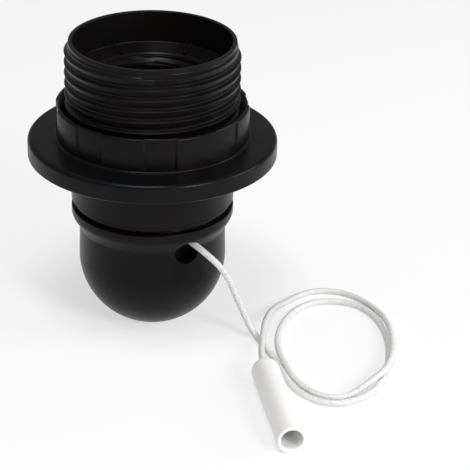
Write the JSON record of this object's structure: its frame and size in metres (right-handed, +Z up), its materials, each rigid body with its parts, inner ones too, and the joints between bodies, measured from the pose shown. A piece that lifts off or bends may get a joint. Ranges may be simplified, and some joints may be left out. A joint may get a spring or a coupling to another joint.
{
  "type": "lamp holder",
  "caption": "Upright screw-socket lamp holder with a threaded barrel, a shade ring, a domed cap, and a pull cord lying coiled on the floor beside it.",
  "frame": {"origin": "centre of the flat foot round the nipple thread, on the surface it stands on", "axes": "+Z up along the lamp axis, out of the lamp socket's mouth; -Y is the front; the cord leaves the cap at the front right"},
  "size_m": [0.0843, 0.0931, 0.0677],
  "materials": {
    "black_thermoplastic": "moulded thermoplastic, satin",
    "white_cord": "braided nylon",
    "white_plastic": "moulded, glossy",
    "ivory_insulator": "moulded insulator, matt",
    "grey_insulator": "moulded insulator, matt",
    "spring_brass": "rolled strip",
    "turned_brass": "machined",
    "plated_steel": "zinc plated",
    "spring_steel": "bright spring strip"
  },
  "bodies": {
    "holder": {"threaded_barrel": "black_thermoplastic", "dome_cap": "black_thermoplastic", "cord_lead": "white_cord", "cord_coil": "white_cord", "cord_tail": "white_cord", "bell_knot": "white_cord", "pull_bell": "white_plastic", "contact_block": "ivory_insulator", "switch_base": "grey_insulator", "centre_contact": "spring_brass", "side_contact": "spring_brass", "moving_contact": "spring_brass", "fixed_contact": "spring_brass", "contact_rivets": "plated_steel", "terminal_screws": "plated_steel", "core_screws": "plated_steel", "wheel_axle": "plated_steel", "nipple_screw": "plated_steel", "live_terminal": "turned_brass", "neutral_terminal": "turned_brass", "return_spring": "spring_steel", "detent_spring": "spring_steel"},
    "ring": {"shade_ring": "black_thermoplastic"},
    "slider": {"pull_slider": "white_plastic", "cord_ferrule": "turned_brass"},
    "wheel": {"ratchet_wheel": "white_plastic"}
  },
  "joints": [
    {"name": "shade_ring_turn", "type": "hinge", "parent": "holder", "child": "ring", "pos_m": [0, 0, 0.0478], "axis": [0, 0, 1], "continuous": true},
    {"name": "pull_slide", "type": "slide", "parent": "holder", "child": "slider", "axis": [0.4633, -0.8862, 0], "range_m": [0, 0.00275], "stiffness_N_per_m": 1000, "springref_m": -0.002, "deforming": ["return_spring"]},
    {"name": "ratchet_step", "type": "hinge", "parent": "holder", "child": "wheel", "pos_m": [0, 0, 0.0184], "axis": [0.8862, 0.4633, 0], "range_deg": [0, 45]}
  ],
  "couplings": [
    {"joint": "ratchet_step", "follows": "pull_slide", "rad_per_m": 285.31}
  ]
}
